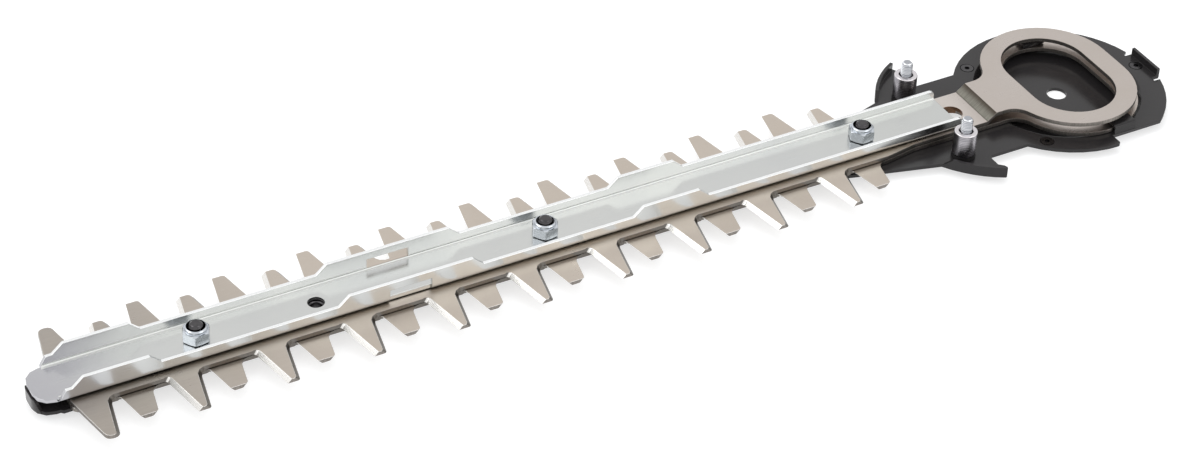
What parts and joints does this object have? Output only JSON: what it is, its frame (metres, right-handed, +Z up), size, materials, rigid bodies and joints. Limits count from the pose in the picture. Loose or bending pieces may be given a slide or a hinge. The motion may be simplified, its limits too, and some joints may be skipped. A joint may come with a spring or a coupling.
{
  "type": "hedge trimmer blade",
  "caption": "Double-sided shear blade assembly for a hedge trimmer: two sliding toothed blades between a guide channel and a pressed base plate, with slotted yokes at the drive end.",
  "frame": {"origin": "under the middle of the whole part, at the height of the surface it rests on", "axes": "+X along the bar from the round nose to the drive end, +Y to the side where the lower blade has its long teeth, +Z up, away from the base plate"},
  "size_m": [0.5161, 0.0907, 0.0234],
  "materials": {
    "zinc": "zinc-plated pressed sheet, satin to bright",
    "bright_zinc": "bright zinc plating",
    "ground_steel": "ground blade steel, warm grey, bright ground bevels",
    "black_sheet": "black coated pressed sheet, semi-gloss",
    "black_steel": "blackened steel",
    "turned_steel": "turned steel with fine rings",
    "bush_steel": "plain turned steel",
    "nylon": "black nylon"
  },
  "bodies": {
    "bar": {"base_plate": "black_sheet", "guide_bar": "zinc", "bar_bolt_1": "black_steel", "bar_bolt_2": "black_steel", "bar_bolt_3": "black_steel", "lock_nut_1": "bright_zinc", "lock_nut_2": "bright_zinc", "lock_nut_3": "bright_zinc", "nut_insert_1": "nylon", "nut_insert_2": "nylon", "nut_insert_3": "nylon", "slot_bush_1": "bush_steel", "slot_bush_2": "bush_steel", "slot_bush_3": "bush_steel", "guard_nut": "black_steel", "near_sleeve": "turned_steel", "far_sleeve": "turned_steel", "near_sleeve_washer": "black_steel", "far_sleeve_washer": "black_steel", "near_sleeve_screw": "bright_zinc", "far_sleeve_screw": "bright_zinc", "base_screw_1": "black_steel", "base_screw_2": "black_steel", "base_screw_3": "black_steel"},
    "upper_blade": {"upper_blade": "ground_steel"},
    "lower_blade": {"lower_blade": "ground_steel"}
  },
  "joints": [
    {"name": "upper_blade_slide", "type": "slide", "parent": "bar", "child": "upper_blade", "axis": [1, 0, 0], "range_m": [-0.009, 0.009]},
    {"name": "lower_blade_slide", "type": "slide", "parent": "bar", "child": "lower_blade", "axis": [1, 0, 0], "range_m": [-0.009, 0.009]}
  ]
}
